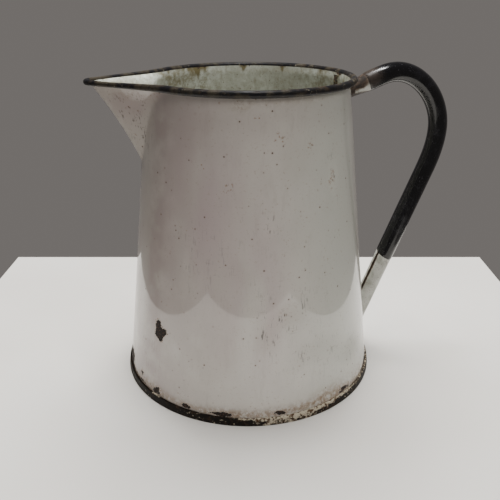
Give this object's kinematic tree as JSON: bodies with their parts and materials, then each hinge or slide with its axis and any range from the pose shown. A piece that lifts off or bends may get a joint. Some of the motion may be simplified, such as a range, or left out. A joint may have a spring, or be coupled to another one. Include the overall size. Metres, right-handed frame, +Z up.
{
  "type": "enamelled steel pouring jug",
  "caption": "Open-topped tapered sheet-steel pouring jug with a V-shaped spout, rolled rim, folded foot, raised bottom and a hollow tubular side handle.",
  "frame": {"origin": "on the surface that the jug stands on, at the middle of its length and width", "axes": "+X towards the handle, -X towards the spout, +Y across, +Z up out of the mouth"},
  "size_m": [0.2407, 0.1768, 0.2098],
  "materials": {
    "white_enamel": "glossy white vitreous enamel, scuffed and chipped",
    "rim_enamel": "dark rolled edge, enamel worn through to brown rust",
    "foot_enamel": "dark folded foot, enamel chipped and rusted",
    "black_enamel": "thick glossy black enamel",
    "wire_steel": "rusted iron wire"
  },
  "bodies": {
    "root": {"body_wall": "white_enamel", "base_pan": "foot_enamel", "spout": "white_enamel", "rim_roll": "rim_enamel", "rim_wire": "wire_steel", "side_seam": "white_enamel", "handle_tube": "white_enamel", "handle_grip": "black_enamel"}
  },
  "joints": []
}
